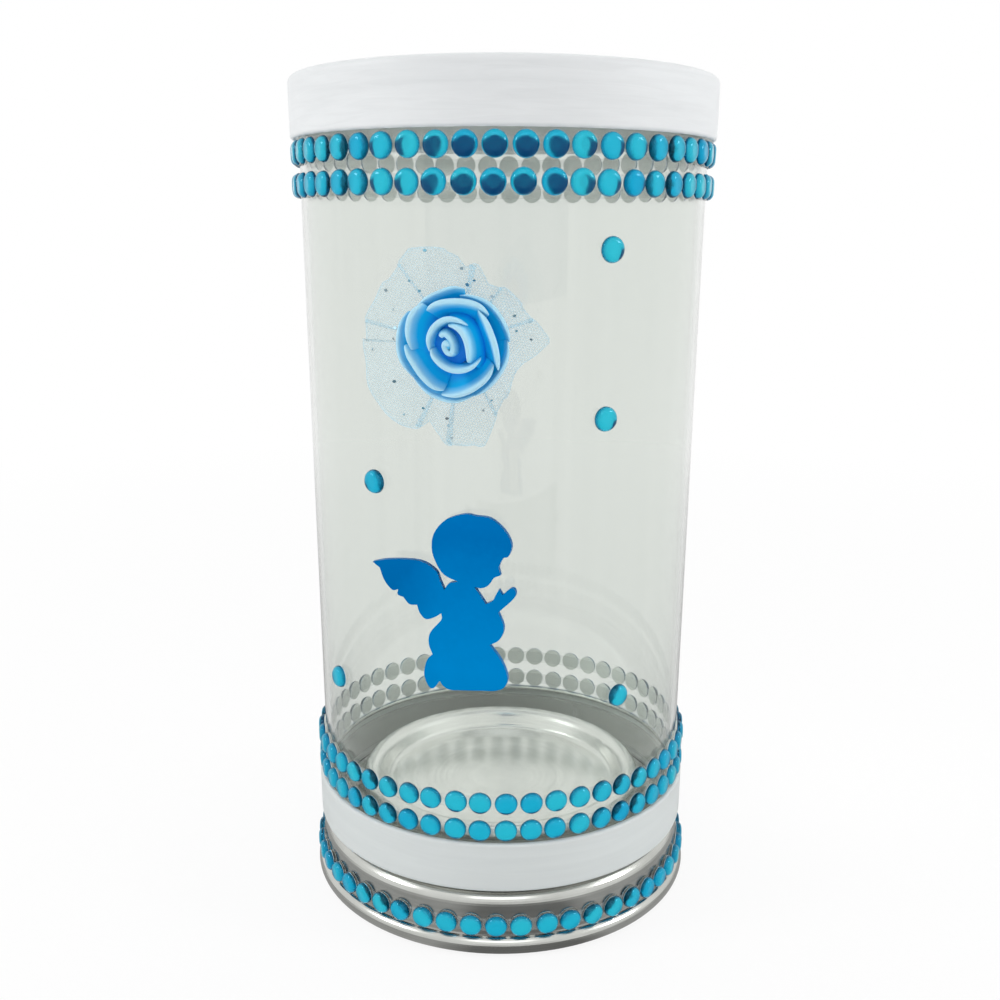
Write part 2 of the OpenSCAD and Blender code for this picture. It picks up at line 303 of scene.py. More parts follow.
tinMarks = {"rings": 1500.0, "drift": 30.0, "bump": 0.12, "depth": 0.01}
# the same tin twice: the pedestal's copy is darkened as painted shade
tinWithPaintedShade = {"light": (0.61, 0.62, 0.59), "dull": (0.5, 0.51, 0.48), "rough": (0.16, 0.26)}
# and the copy inside the painted pressings is lightened as painted light, for the dim inside of the jar
tinWithPaintedLight = {"light": (0.97, 0.975, 0.955), "dull": (0.86, 0.865, 0.845), "rough": (0.14, 0.22)}
strokes = {"tone": (0.3, 0.62), "height": (0.3, 0.7), "smoother": 0.08, "rougher": 0.12, "bump": 0.5,
           "bareShare": 0.1}
lidPaintLook = {  # painted all over, so its paint starts at the axis
    "white": (0.82, 0.84, 0.85), "thin": (0.75, 0.77, 0.78), "roughness": 0.45, "radius": 0.0,
    "above": 0.0, "along": 70.0, "across": 800.0, "depth": 0.1,
}
bandPaintLook = {  # painted outside the radius, and above a height that it never reaches
    "white": (0.75, 0.79, 0.785), "thin": (0.7, 0.74, 0.735), "roughness": 0.4, "radius": 45.7,
    "above": 1000.0, "along": 30.0, "across": 500.0, "depth": 0.03,
}


def tinLook(tree, tin):  # colour, roughness and height of the bare metal
    marks = useGroup(tree, spunMarks, Rings=tinMarks["rings"], Drift=tinMarks["drift"])
    smooth, rough = tin["rough"]
    roughness = ramp(tree, marks["Tone"], rough, smooth, *toneSpan)
    return toneColour(tree, marks["Tone"], tin["dull"], tin["light"]), roughness, marks["Height"]


def makeBareTin():
    finish, tree, surface = newFinish("bareTin")
    colour, roughness, height = tinLook(tree, tinWithPaintedShade)
    tree.links.new(colour, surface.inputs["Base Color"])
    tree.links.new(roughness, surface.inputs["Roughness"])
    surface.inputs["Metallic"].default_value = 1.0
    bumpFrom(tree, surface, height, tinMarks["bump"], tinMarks["depth"])
    return finish


def makePaintedTin(name, paint):
    finish, tree, surface = newFinish(name)
    bare, bareRough, bareHeight = tinLook(tree, tinWithPaintedLight)
    marks = useGroup(tree, brushMarks, Along=paint["along"], Across=paint["across"])
    thick = ramp(tree, marks["Tone"], 0.0, 1.0, *strokes["tone"])
    white = blendColour(tree, thick, paint["thin"], paint["white"])
    painted = useGroup(tree, paintReach, Radius=paint["radius"] * mm, Above=paint["above"] * mm)["Mask"]
    rough = ramp(tree, marks["Height"], paint["roughness"] - strokes["smoother"],
                 paint["roughness"] + strokes["rougher"], *strokes["height"])
    tree.links.new(blendColour(tree, painted, bare, white), surface.inputs["Base Color"])
    tree.links.new(calc(tree, "SUBTRACT", 1.0, painted), surface.inputs["Metallic"])
    roughMix = addNode(tree, "ShaderNodeMix", {0: painted, 2: bareRough, 3: rough})  # its number sockets
    tree.links.new(roughMix.outputs[0], surface.inputs["Roughness"])
    heightMix = addNode(tree, "ShaderNodeMix", {
        0: painted, 2: calc(tree, "MULTIPLY", bareHeight, strokes["bareShare"]), 3: marks["Height"]})
    bumpFrom(tree, surface, heightMix.outputs[0], strokes["bump"], paint["depth"])
    return finish


bareTin = makeBareTin()
lidPaint = makePaintedTin("lidPaint", lidPaintLook)
bandPaint = makePaintedTin("bandPaint", bandPaintLook)


wall = {"tint": (0.835, 0.857, 0.832), "line": (0.822, 0.845, 0.82), "shade": (0.93, 0.94, 0.93),
        "roughness": 0.02, "ior": 1.49, "across": 260.0, "down": 3.0}
film = {"first": (0.93, 0.95, 0.95), "second": (0.84, 0.88, 0.87), "grain": 700.0, "roughness": 0.25,
        "depth": 0.01, "cover": 0.12}
glue = {"first": (0.86, 0.86, 0.84), "second": (0.76, 0.76, 0.73), "grain": 900.0, "roughness": 0.3,
        "depth": 0.05, "cover": 0.3}
tape = {"first": (0.85, 0.85, 0.83), "second": (0.72, 0.72, 0.7), "grain": 3000.0, "roughness": 0.8,
        "depth": 0.06, "cover": 1.0}
lacquer = {"first": (0.97, 0.99, 0.98), "second": (0.9, 0.93, 0.92), "grain": 2500.0, "roughness": 0.45,
           "depth": 0.01, "cover": 1.0}
plain = {"bump": 0.4, "spread": 0.08}  # shared by film, glue, tape and lacquer


def makeClearWall():  # lamps reach what is behind it
    finish, tree, surface = newFinish("clearWall")
    tone = useGroup(tree, drawLines, Across=wall["across"], Down=wall["down"])["Tone"]
    tree.links.new(toneColour(tree, tone, wall["tint"], wall["line"]), surface.inputs["Base Color"])
    surface.inputs["Roughness"].default_value = wall["roughness"]
    surface.inputs["IOR"].default_value = wall["ior"]
    surface.inputs["Transmission Weight"].default_value = 1.0
    through = addNode(tree, "ShaderNodeBsdfTransparent", {"Color": (*wall["shade"], 1)})
    path = addNode(tree, "ShaderNodeLightPath").outputs
    both = addNode(tree, "ShaderNodeMixShader", {
        0: path["Is Shadow Ray"], 1: surface.outputs[0], 2: through.outputs[0]})
    tree.links.new(both.outputs[0], tree.nodes["Material Output"].inputs["Surface"])
    return finish


def makePlain(name, look):
    finish, tree, surface = newFinish(name)
    grain = useGroup(tree, fineGrain, Scale=look["grain"])
    colour = toneColour(tree, grain["Tone"], look["first"], look["second"])
    tree.links.new(colour, surface.inputs["Base Color"])
    middle, spread = look["roughness"], plain["spread"]
    tree.links.new(ramp(tree, grain["Tone"], middle - spread, middle + spread), surface.inputs["Roughness"])
    surface.inputs["Alpha"].default_value = look["cover"]
    bumpFrom(tree, surface, grain["Height"], plain["bump"], look["depth"])
    return finish


clearWall = makeClearWall()
clearFilm = makePlain("clearFilm", film)
hotGlue = makePlain("hotGlue", glue)
foamTape = makePlain("foamTape", tape)
stoneBack = makePlain("stoneBack", lacquer)

carried = {
    "clear_tube": clearWall, "bottom_cap": bandPaint, "lid": lidPaint, "pedestal": bareTin,
    "cap_glue": hotGlue, "pedestal_glue": hotGlue, "rose_glue": hotGlue, "angel_pad": foamTape,
    "strip_top_upper": clearFilm, "strip_top_lower": clearFilm, "strip_bottom_upper": clearFilm,
    "strip_bottom_lower": clearFilm, "strip_pedestal": clearFilm,
}
for name, finish in carried.items():
    nodes[name].data.materials.clear()
    nodes[name].data.materials.append(finish)
print("carried parts finished:", len(carried))


stone = {
    "diameter": 5.15, "height": 1.6, "girdle": 0.35, "table": 0.46, "sides": 24, "seat": 0.02,
    "backing": 0.1, "backShare": 0.985, "backGap": 0.01, "girdleRimShade": 0.95,
    # light and deep are the stones' own tones; edge is painted shade, a darker blue towards each stone's rim
    "light": (0.03, 0.6, 0.75), "deep": (0.004, 0.44, 0.72), "edge": (0.0, 0.16, 0.34),
    "gloss": (0.25, 0.6, 0.85), "ior": 1.49, "resinGrain": 1500.0, "resinRough": (0.02, 0.07),
    "foil": (0.95, 0.96, 0.97), "foilDim": 0.85, "foilGrain": 2500.0, "foilRough": (0.1, 0.25),
}
# share of the radius, share of the rise, and how much painted rim shade is there
stoneDome = ((0.96, 0.28, 0.8), (0.89, 0.54, 0.42), (0.78, 0.78, 0.15), (0.63, 0.94, 0.03))
byHand = {"swing": 0.2, "drop": 0.07, "lean": 1.6, "tone": 0.6, "toneSpread": 0.25}  # how uneven rows are
rowTurns = {  # azimuth of one stone in each row
    "top_upper": 5.3, "top_lower": 4.9, "bottom_upper": 1.6, "bottom_lower": 1.4, "pedestal": 6.1,
}
rowCount = 50
looseStones = {  # azimuth of each loose stone
    "right_top": 28.1, "right_middle": 27.8, "left_middle": -36.3, "left_low": -55.9, "right_low": 35.1,
}


def makeResin():
    finish, tree, surface = newFinish("stoneResin")
    body = blendColour(tree, stored(tree, "tone"), stone["deep"], stone["light"])
    # the stored edge value blends in the painted rim shade
    tree.links.new(blendColour(tree, stored(tree, "edge"), body, stone["edge"]), surface.inputs["Base Color"])
    grain = useGroup(tree, fineGrain, Scale=stone["resinGrain"])
    tree.links.new(ramp(tree, grain["Tone"], *stone["resinRough"]), surface.inputs["Roughness"])
    surface.inputs["IOR"].default_value = stone["ior"]
    surface.inputs["Specular Tint"].default_value = (*stone["gloss"], 1)
    surface.inputs["Transmission Weight"].default_value = 1.0
    return finish


def makeFoil():
    finish, tree, surface = newFinish("stoneFoil")
    grain = useGroup(tree, fineGrain, Scale=stone["foilGrain"])
    dimmed = tuple(stone["foilDim"] * c for c in stone["foil"])
    tree.links.new(blendColour(tree, grain["Tone"], dimmed, stone["foil"]), surface.inputs["Base Color"])
    tree.links.new(ramp(tree, grain["Tone"], *stone["foilRough"]), surface.inputs["Roughness"])
    surface.inputs["Metallic"].default_value = 1.0
    return finish


stoneResin = makeResin()
stoneFoil = makeFoil()


def crownShape():  # one resin top: its underside, its flat table and then its side and smooth dome
    radius = stone["diameter"] / 2
    rise = stone["height"] - stone["girdle"]
    levels = [(radius, stone["backing"]), (radius, stone["girdle"])]
    levels += [(radius * share, stone["girdle"] + rise * up) for share, up, deep in stoneDome]
    levels.append((radius * stone["table"], stone["height"]))
    points, faces = closedRings(levels, stone["sides"])
    edges = []
    # how much painted rim shade each ring of the crown carries
    for deep in (1.0, stone["girdleRimShade"], *(deep for share, up, deep in stoneDome), 0.0):
        edges.extend([deep] * stone["sides"])
    return points, faces, edges


def backShape():  # thin disc of grey lacquer behind the foil
    radius = stone["diameter"] / 2 * stone["backShare"]
    top = stone["backing"] - stone["backGap"]
    points, faces = closedRings([(radius, 0.0), (radius, top)], stone["sides"])
    return points, faces, [0.0] * len(points)


crown = crownShape()
backing = backShape()


def unevenly(chance, amount):
    return chance.uniform(-amount, amount)


def setStones(label, places, node, chance):
    parts = {"crowns": ([], [], [], []), "backs": ([], [], [], [])}
    for azimuth, height, radius in places:
        swung = azimuth + unevenly(chance, byHand["swing"])
        place = sideFrame(swung, height + unevenly(chance, byHand["drop"]), radius)
        lean = Matrix.Rotation(math.radians(unevenly(chance, byHand["lean"])), 4, "X")
        lean = lean @ Matrix.Rotation(math.radians(unevenly(chance, byHand["lean"])), 4, "Y")
        spin = Matrix.Rotation(chance.uniform(0, 2 * math.pi), 4, "Z")
        whole = place @ lean @ spin @ Matrix.Scale(mm, 4)
        tone = min(1.0, max(0.0, chance.gauss(byHand["tone"], byHand["toneSpread"])))
        for part, (shapePoints, shapeFaces, shapeEdges) in (("crowns", crown), ("backs", backing)):
            points, faces, tones, edges = parts[part]
            first = len(points)
            points.extend(whole @ Vector(p) for p in shapePoints)
            faces.extend(tuple(first + i for i in face) for face in shapeFaces)
            tones.extend([tone] * len(shapePoints))
            edges.extend(shapeEdges)
    points, faces, tones, edges = parts["crowns"]
    finishes = [stoneResin, stoneFoil]
    crowns = makePiece("crowns_" + label, points, faces, finishes, smooth=True)
    perStone = len(crown[1])
    for i, polygon in enumerate(crowns.data.polygons):  # first the foil, then the table, then the sides
        polygon.use_smooth = i % perStone > 1
        polygon.material_index = 1 if i % perStone == 0 else 0
    storeValues(crowns, "tone", tones)
    # edge holds the share of painted rim shade at each point
    storeValues(crowns, "edge", edges)
    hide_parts(node)
    points, faces, tones, edges = parts["backs"]
    makePiece("backs_" + label, points, faces, [stoneBack])


chance = random.Random(11)
for row, turn in rowTurns.items():
    seat = outerRadius("strip_" + row) + stone["seat"]
    height = midHeight("strip_" + row)
    places = [(turn + i * 360 / rowCount, height, seat) for i in range(rowCount)]
    setStones(row, places, "stones_" + row, chance)
tubeRadius = outerRadius("clear_tube")
for label, azimuth in looseStones.items():
    node = "stone_" + label
    setStones(label, [(azimuth, midHeight(node), tubeRadius + stone["seat"])], node, chance)
print("stones set:", rowCount * len(rowTurns) + len(looseStones))


rose = {
    "azimuth": -11, "height": 138.7, "seat": 46.02,
    "pale": (0.47, 0.79, 0.96), "bright": (0.0, 0.6, 0.98), "deep": (0.0, 0.27, 0.86),
    "brightSpan": (0.12, 0.52), "paleSpan": (0.66, 1.0), "wander": 0.2,
    "roughness": 0.6, "spread": 0.1, "grain": 2600.0, "bump": 0.35, "depth": 0.04,
}
# Each petal is the line of its rim, as x and y from the middle. In a layer, lift and rise place foot and
# rim, foot is the share of the reach at which a petal starts, and lip is how far its rim turns outwards.
roseLayers = {
    "outer": {"foam": 0.8, "lift": 0.6, "rise": 4.3, "foot": 0.4, "lip": 0.3, "dip": 0.3,
              "shift": (0.15, 0.05), "petals": [
        [(-8.7, 4.9), (-5.3, 8.3), (-2.2, 9.8), (0.2, 10.5), (2.1, 10.2)],
        [(1.0, 9.0), (3.8, 8.9), (7.0, 7.7), (9.1, 5.4), (10.4, 2.7), (10.7, 0.7)],
        [(10.2, 1.1), (10.5, -1.4), (9.7, -4.0), (7.8, -6.7), (5.9, -8.4), (3.7, -9.6)],
        [(4.2, -9.2), (1.9, -10.2), (-0.3, -10.6), (-3.3, -9.9), (-5.7, -8.6), (-8.1, -6.3)],
        [(-7.7, -6.6), (-9.8, -4.0), (-10.7, -1.4), (-10.7, 1.3), (-10.1, 4.0), (-8.7, 6.1)],
    ]},
    "middle": {"foam": 1.25, "lift": 1.5, "rise": 5.6, "foot": 0.42, "lip": 0.5, "dip": 0.22,
               "shift": (0.6, 0.25), "petals": [
        [(4.4, 6.3), (5.9, 4.5), (6.9, 2.5), (7.8, 0.0), (8.3, -2.6), (8.3, -4.5)],
        [(7.4, -3.4), (6.7, -5.2), (5.2, -6.8), (2.7, -8.4), (0.1, -9.2), (-2.6, -9.1)],
        [(-1.9, -8.3), (-3.7, -7.8), (-5.8, -5.9), (-7.5, -3.5), (-8.6, -1.8), (-9.3, -0.2)],
        [(-7.9, -1.2), (-8.5, 1.6), (-8.2, 4.2), (-7.2, 6.0), (-5.7, 7.3)],
        [(-5.0, 5.9), (-4.1, 6.7), (-2.2, 7.5), (1.0, 7.8), (3.6, 7.5), (5.4, 6.7), (6.5, 5.4)],
    ]},
    "inner": {"foam": 1.2, "lift": 2.4, "rise": 6.0, "foot": 0.7, "lip": 0.25, "dip": 0.14,
              "shift": (0.9, 0.4), "petals": [
        [(-4.1, -0.7), (-3.9, -1.8), (-2.6, -3.3), (-0.7, -4.4), (1.5, -4.6), (3.6, -3.9), (5.1, -2.4)],
        [(-4.4, -1.4), (-4.7, 0.7), (-3.9, 2.7), (-2.4, 4.1), (-0.7, 4.6), (1.0, 4.3), (2.6, 3.5)],
    ]},
}
roseLean = {  # the petal that leans over the bud: its rim is smaller than its foot
    "rim": [(-1.1, 3.5), (0.4, 3.2), (1.7, 2.2), (2.6, 0.2), (2.8, -2.0), (2.6, -3.1)],
    "lift": 2.4, "rise": 6.3, "spread": 1.75, "shift": (1.0, 0.4),
}
petalShape = {  # steps along and up a petal, and the powers that shape its opening, its rise and its ends
    "columns": 16, "rows": 8, "opening": 0.9, "leaning": 1.25, "rising": 1.8, "ends": 3, "lipFrom": 0.75,
}


def makeFoam():
    finish, tree, surface = newFinish("roseFoam")
    grain = useGroup(tree, fineGrain, Scale=rose["grain"])
    wander = wanderFrom(tree, stored(tree, "rim"), grain["Tone"], rose["wander"])
    brighter = ramp(tree, wander, 0.0, 1.0, *rose["brightSpan"])
    paler = ramp(tree, wander, 0.0, 1.0, *rose["paleSpan"])
    lower = blendColour(tree, brighter, rose["deep"], rose["bright"])
    tree.links.new(blendColour(tree, paler, lower, rose["pale"]), surface.inputs["Base Color"])
    middle, spread = rose["roughness"], rose["spread"]
    tree.links.new(ramp(tree, grain["Tone"], middle - spread, middle + spread), surface.inputs["Roughness"])
    bumpFrom(tree, surface, grain["Height"], rose["bump"], rose["depth"])
    return finish


roseFoam = makeFoam()
thinnest = 0.2  # share of the foam's thickness that is left where its fullness is 0


def softenSheet(piece, thickness, fullness):  # gives a surface its thickness and round edges
    group = piece.vertex_groups.new(name="fullness")
    for i, value in enumerate(fullness):
        group.add([i], value, "REPLACE")
    shell = piece.modifiers.new("thickness", "SOLIDIFY")
    shell.thickness = thickness * mm
    shell.offset = 0.0
    shell.vertex_group = "fullness"
    shell.thickness_vertex_group = thinnest
    rounder = piece.modifiers.new("roundEdges", "SUBSURF")
    rounder.levels = 1
    rounder.render_levels = 2


def smoothRim(knots, count):  # evenly spread points on a smooth line through the knots
    line = []
    last = len(knots) - 1
    for k in range(count + 1):
        at = k / count * last
        i = min(int(at), last - 1)
        b, c = Vector(knots[i]), Vector(knots[i + 1])
        a = Vector(knots[i - 1]) if i > 0 else 2 * b - c
        d = Vector(knots[i + 2]) if i + 2 <= last else 2 * c - b
        line.append(onCurve(a, b, c, d, at - i))
    return line


def addGrid(faces, first, columns, rows):
    for i in range(columns):
        for j in range(rows):
            a = first + i * (rows + 1) + j
            faces.append((a, a + 1, a + rows + 2, a + rows + 1))


rosePlace = sideFrame(rose["azimuth"], rose["height"], rose["seat"]) @ Matrix.Scale(mm, 4)


def makeRoseLayer(label, layer, node):
    columns, rows, lipFrom = petalShape["columns"], petalShape["rows"], petalShape["lipFrom"]
    points, faces, rims, fullness = [], [], [], []
    petals = [(knots, layer["foot"], layer["lip"], layer["lift"], layer["rise"], layer["shift"])
              for knots in layer["petals"]]
    if label == "inner":
        petals.append((roseLean["rim"], roseLean["spread"], 0.0, roseLean["lift"], roseLean["rise"],
                       roseLean["shift"]))
    for knots, foot, lip, lift, rise, shift in petals:
        first = len(points)
        rim = smoothRim(knots, columns)
        for i, end in enumerate(rim):
            u = 2 * i / columns - 1
            towardsEnd = abs(u) ** petalShape["ends"]
            reach = end.length
            away = end / reach
            for j in range(rows + 1):
                v = j / rows
                opened = v ** petalShape["leaning"]
                if foot < 1:
                    opened = math.sin(v * math.pi / 2) ** petalShape["opening"]
                radius = reach * (foot + (1 - foot) * opened) + lip * max(0.0, v - lipFrom) / (1 - lipFrom)
                z = lift + rise * v ** petalShape["rising"] * (1 - layer["dip"] * towardsEnd)
                x, y = away.x * radius + shift[0], away.y * radius + shift[1]
                points.append(rosePlace @ Vector((x, y, z)))
                rims.append(v)
                fullness.append(1 - towardsEnd)
        addGrid(faces, first, columns, rows)
    piece = makePiece("rose_" + label, points, faces, [roseFoam], smooth=True)
    storeValues(piece, "rim", rims)
    softenSheet(piece, layer["foam"], fullness)
    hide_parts(node)


for label, layer in roseLayers.items():
    makeRoseLayer(label, layer, f"rose_{label}_petals")

bud = {  # a strip rolled up from inner outwards, on a round floor, with a small cone in its middle
    "turns": 1.35, "inner": 0.12, "pitch": 1.2, "low": 3.4, "high": 9.0, "wide": 0.8, "tall": 1.5,
    "tilt": 20, "atX": -0.1, "atY": 0.2, "foam": 1.05, "columns": 34, "rows": 6, "swell": 0.2,
    "narrow": 0.12, "drop": 0.9, "rimLow": 0.55, "rimRise": 0.43,
    "floor": 4.6, "floorReach": 4.2, "floorSides": 24, "floorRim": 0.25,
    "plug": 0.75, "plugTop": 8.0, "plugDrop": 0.5, "plugSides": 12, "plugRims": (0.8, 0.7),  # the cone
}


def addFan(points, faces, rims, place, top, low, reach, sides, rimPair):  # a flat or pointed disc
    middle = len(points)
    points.append(place @ Vector((0, 0, top)))
    rims.append(rimPair[0])
    for i in range(sides):
        turn = 2 * math.pi * i / sides
        points.append(place @ Vector((reach * math.cos(turn), reach * math.sin(turn), low)))
        rims.append(rimPair[1])
        faces.append((middle, middle + 1 + i, middle + 1 + (i + 1) % sides))


def makeBud():
    place = rosePlace @ Matrix.Translation((bud["atX"], bud["atY"], 0))
    place = place @ Matrix.Rotation(math.radians(bud["tilt"]), 4, "Z")
    columns, rows = bud["columns"], bud["rows"]
    points, faces, rims = [], [], []
    for i in range(columns + 1):
        turn = i / columns * bud["turns"] * 2 * math.pi
        radius = bud["inner"] + bud["pitch"] * turn / (2 * math.pi)
        for j in range(rows + 1):
            v = j / rows
            swell = 1 + bud["swell"] * math.sin(v * math.pi) - bud["narrow"] * v
            z = bud["low"] + (bud["high"] - bud["low"] - bud["drop"] * (i / columns) ** 2) * v
            x = radius * swell * bud["wide"] * math.cos(turn)
            y = radius * swell * bud["tall"] * math.sin(turn)
            points.append(place @ Vector((x, y, z)))
            rims.append(bud["rimLow"] + bud["rimRise"] * v)
    addGrid(faces, 0, columns, rows)
    addFan(points, faces, rims, place, bud["floor"], bud["floor"], bud["floorReach"], bud["floorSides"],
           (bud["floorRim"], 0.0))
    addFan(points, faces, rims, place, bud["plugTop"], bud["plugTop"] - bud["plugDrop"], bud["plug"],
           bud["plugSides"], bud["plugRims"])
    piece = makePiece("rose_bud_roll", points, faces, [roseFoam], smooth=True)
    storeValues(piece, "rim", rims)
    softenSheet(piece, bud["foam"], [1.0] * len(points))
    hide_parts("rose_bud")


makeBud()
print("rose built")


tulle = {
    "azimuth": -13, "height": 136.9, "rest": 45.12, "centreX": 1.7, "centreY": 1.7, "rings": 16,
    "step": 3.0, "hub": 0.12, "hubPower": 0.7, "hubLift": 0.45, "hubStand": 0.25,
    "thread": (0.55, 0.84, 0.97), "shaded": 0.8, "grain": 900.0, "mesh": 0.5, "threadTurns": (20, 80, 140),
    "threadSpan": (0.55, 0.95), "open": 0.11, "dense": 0.42, "edge": 0.3,
    "roughness": 0.5, "sheen": 0.3, "outlineSteps": 4,
}
tulleOutline = [  # x along the tube, y up, and 1 at a corner
    (-8.5, 19.5, 1), (-3.5, 19.8, 0), (1.5, 18.8, 0), (3, 16.5, 1), (4, 17, 1), (5.8, 16.6, 1),
    (7.5, 13.6, 0), (11.2, 12.1, 0), (15.2, 8.0, 0), (19.8, 2.2, 1), (16.8, -0.6, 0), (13.2, -3.2, 0),
    (11.5, -8, 0), (9.5, -12, 0), (8.5, -14.5, 0), (7, -18.4, 1), (3, -19.3, 0), (-0.3, -19, 1),
    (-3, -16.8, 0), (-4.7, -14.4, 1), (-6.6, -15.6, 0), (-11.5, -14.9, 0), (-16.8, -11.3, 0),
    (-19.5, -6.8, 0), (-20.2, -0.5, 0), (-19.4, 5.3, 0), (-16, 10.7, 0), (-11.8, 16, 0),
]
tulleFolds = [  # angle round the middle, half width and how high the fold stands
    (79, 2.6, 0.5), (-96, 1.8, 0.4), (-117, 1.6, 0.4), (18, 1.5, 0.3), (170, 1.3, 0.25), (52, 1.3, 0.3),
    (-62, 1.4, 0.3), (130, 1.2, 0.25),
]
fold = {  # back over the cloth in steps, on to a tip, and then down again
    "steps": 6, "lap": 0.12, "low": 0.35, "reach": 0.98, "reachLoss": 0.004,
    "tipTurn": 0.9, "tipStand": 1.25, "tipReach": 0.955,
    "downTurn": 0.4, "downReach": 0.97, "downRate": 0.72, "downEnd": 0.06, "gapBefore": 1.5, "gapAtEnd": 1.0,
}
ruffle = {  # two long waves multiplied, and a short one that turns with the reach
    "height": 0.35, "long": 0.16, "longer": 0.071, "offset": 1.3,
    "short": 0.33, "shortShare": 0.4, "twist": 3,
}


def roundedLoop(knots, steps):  # a smooth closed line through the knots, with corners where they are marked
    line = []
    count = len(knots)
    for i in range(count):
        before, here, after, later = (knots[(i + k) % count] for k in (-1, 0, 1, 2))
        a, b, c, d = (Vector(k[:2]) for k in (before, here, after, later))
        if here[2]:
            a = 2 * b - c
        if after[2]:
            d = 2 * c - b
        line.extend(onCurve(a, b, c, d, k / steps) for k in range(steps))
    return line


def reachAt(line, centre, angle):  # distance from the centre to the line in one direction
    way = Vector((math.cos(angle), math.sin(angle)))
    best = 0.0
    for i, start in enumerate(line):
        end = line[(i + 1) % len(line)]
        a, b = start - centre, end - start
        cross = way.x * b.y - way.y * b.x
        if abs(cross) < 1e-9:  # they run side by side
            continue
        far = (a.x * b.y - a.y * b.x) / cross
        share = (a.x * way.y - a.y * way.x) / cross
        if 0 <= share <= 1 and far > best:
            best = far
    return best


def findSpokes():  # angle, height and share of the reach for each spoke of the cloth
    spokes = []
    angle = -180.0
    for middle, half, stand in sorted(tulleFolds):
        while angle < middle + half - fold["gapBefore"]:
            spokes.append((angle, 0.0, 1.0))
            angle += tulle["step"]
        for k in range(fold["steps"] + 1):
            share = k / fold["steps"]
            up = fold["lap"] + stand * (fold["low"] + (1 - fold["low"]) * share)
            spokes.append((middle + half - 2 * half * share, up, fold["reach"] - fold["reachLoss"] * k))
        spokes.append((middle - half * fold["tipTurn"], stand * fold["tipStand"], fold["tipReach"]))
        angle = middle - half * fold["downTurn"]
        rise = stand
        while rise > fold["downEnd"]:
            spokes.append((angle, rise, fold["downReach"]))
            angle += tulle["step"]
            rise *= fold["downRate"]
    while angle < 180.0 - fold["gapAtEnd"]:
        spokes.append((angle, 0.0, 1.0))
        angle += tulle["step"]
    return spokes


def makeTulleNet():
    finish, tree, surface = newFinish("tulleNet")
    parts = split(tree, addNode(tree, "ShaderNodeTexCoord").outputs["UV"])
    rate = 2 * math.pi / tulle["mesh"]
    threads = None
    for angle in tulle["threadTurns"]:
        way = math.radians(angle)
        run = calc(tree, "ADD", calc(tree, "MULTIPLY", parts[0], math.cos(way) * rate),
                   calc(tree, "MULTIPLY", parts[1], math.sin(way) * rate))
        wave = ramp(tree, calc(tree, "SINE", run), 0.0, 1.0, *tulle["threadSpan"])
        threads = wave if threads is None else calc(tree, "MAXIMUM", threads, wave)
    cover = ramp(tree, threads, tulle["open"], tulle["dense"])
    cover = calc(tree, "ADD", cover, calc(tree, "MULTIPLY", stored(tree, "edge"), tulle["edge"]))
    tree.links.new(cover, surface.inputs["Alpha"])
    grain = useGroup(tree, fineGrain, Scale=tulle["grain"])
    shaded = tuple(tulle["shaded"] * c for c in tulle["thread"])
    tree.links.new(blendColour(tree, grain["Tone"], shaded, tulle["thread"]), surface.inputs["Base Color"])
    surface.inputs["Roughness"].default_value = tulle["roughness"]
    surface.inputs["Sheen Weight"].default_value = tulle["sheen"]
    return finish


def ruffleAt(angle, s):  # how high the cloth waves at an angle and a share of its reach
    long = math.sin(angle * ruffle["long"]) * math.sin(angle * ruffle["longer"] + ruffle["offset"])
    short = ruffle["shortShare"] * math.sin(angle * ruffle["short"] + s * ruffle["twist"])
    return ruffle["height"] * (1 + long + short) * s * s


def makeTulle():
    line = roundedLoop(tulleOutline, tulle["outlineSteps"])
    centre = Vector((tulle["centreX"], tulle["centreY"]))
    spokes = findSpokes()
    rings = tulle["rings"]
    hub, hubStand = tulle["hub"], tulle["hubStand"]
    points, faces, edges = [], [], []
    perMillimetre = math.degrees(1 / tulle["rest"])
    for angle, stand, share in spokes:
        turn = math.radians(angle)
        reach = reachAt(line, centre, turn) * share
        for j in range(rings + 1):
            s = hub + (1 - hub) * (j / rings) ** tulle["hubPower"]
            x = centre.x + math.cos(turn) * reach * s
            y = centre.y + math.sin(turn) * reach * s
            lift = stand * (hubStand + (1 - hubStand) * s) + ruffleAt(angle, s) + tulle["hubLift"] * (1 - s)
            azimuth = tulle["azimuth"] + x * perMillimetre
            points.append(wrapPoint(azimuth, tulle["height"] + y, tulle["rest"] + lift))
            edges.append(1.0 if j == rings else 0.0)
    count = len(spokes)
    for i in range(count):
        after = (i + 1) % count
        for j in range(rings):
            a, b = i * (rings + 1) + j, after * (rings + 1) + j
            faces.append((a, a + 1, b + 1, b))
    piece = makePiece("tulle_scrap", points, faces, [makeTulleNet()], smooth=True)
    storeValues(piece, "edge", edges)
    layer = piece.data.uv_layers.new(name="cloth")
    for loop in piece.data.loops:
        point = points[loop.vertex_index] / mm
        across = math.atan2(point.x, -point.y) * tulle["rest"]
        layer.data[loop.index].uv = (across, point.z - tulle["height"])
    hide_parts("tulle")
    return piece, points, count


tulleScrap, tullePoints, spokeCount = makeTulle()

glitter = {
    "count": 30, "sides": 6, "radius": 0.36, "flat": 0.8, "thickness": 0.05, "stand": 0.08, "tilt": 0.5,
    "spokes": (0.1, 0.9), "rings": (0.5, 0.95), "sizes": (0.6, 1.25),
    "silver": (0.4, 0.48, 0.52), "blue": (0.1, 0.34, 0.46), "grain": 4000.0, "rough": (0.35, 0.55),
}


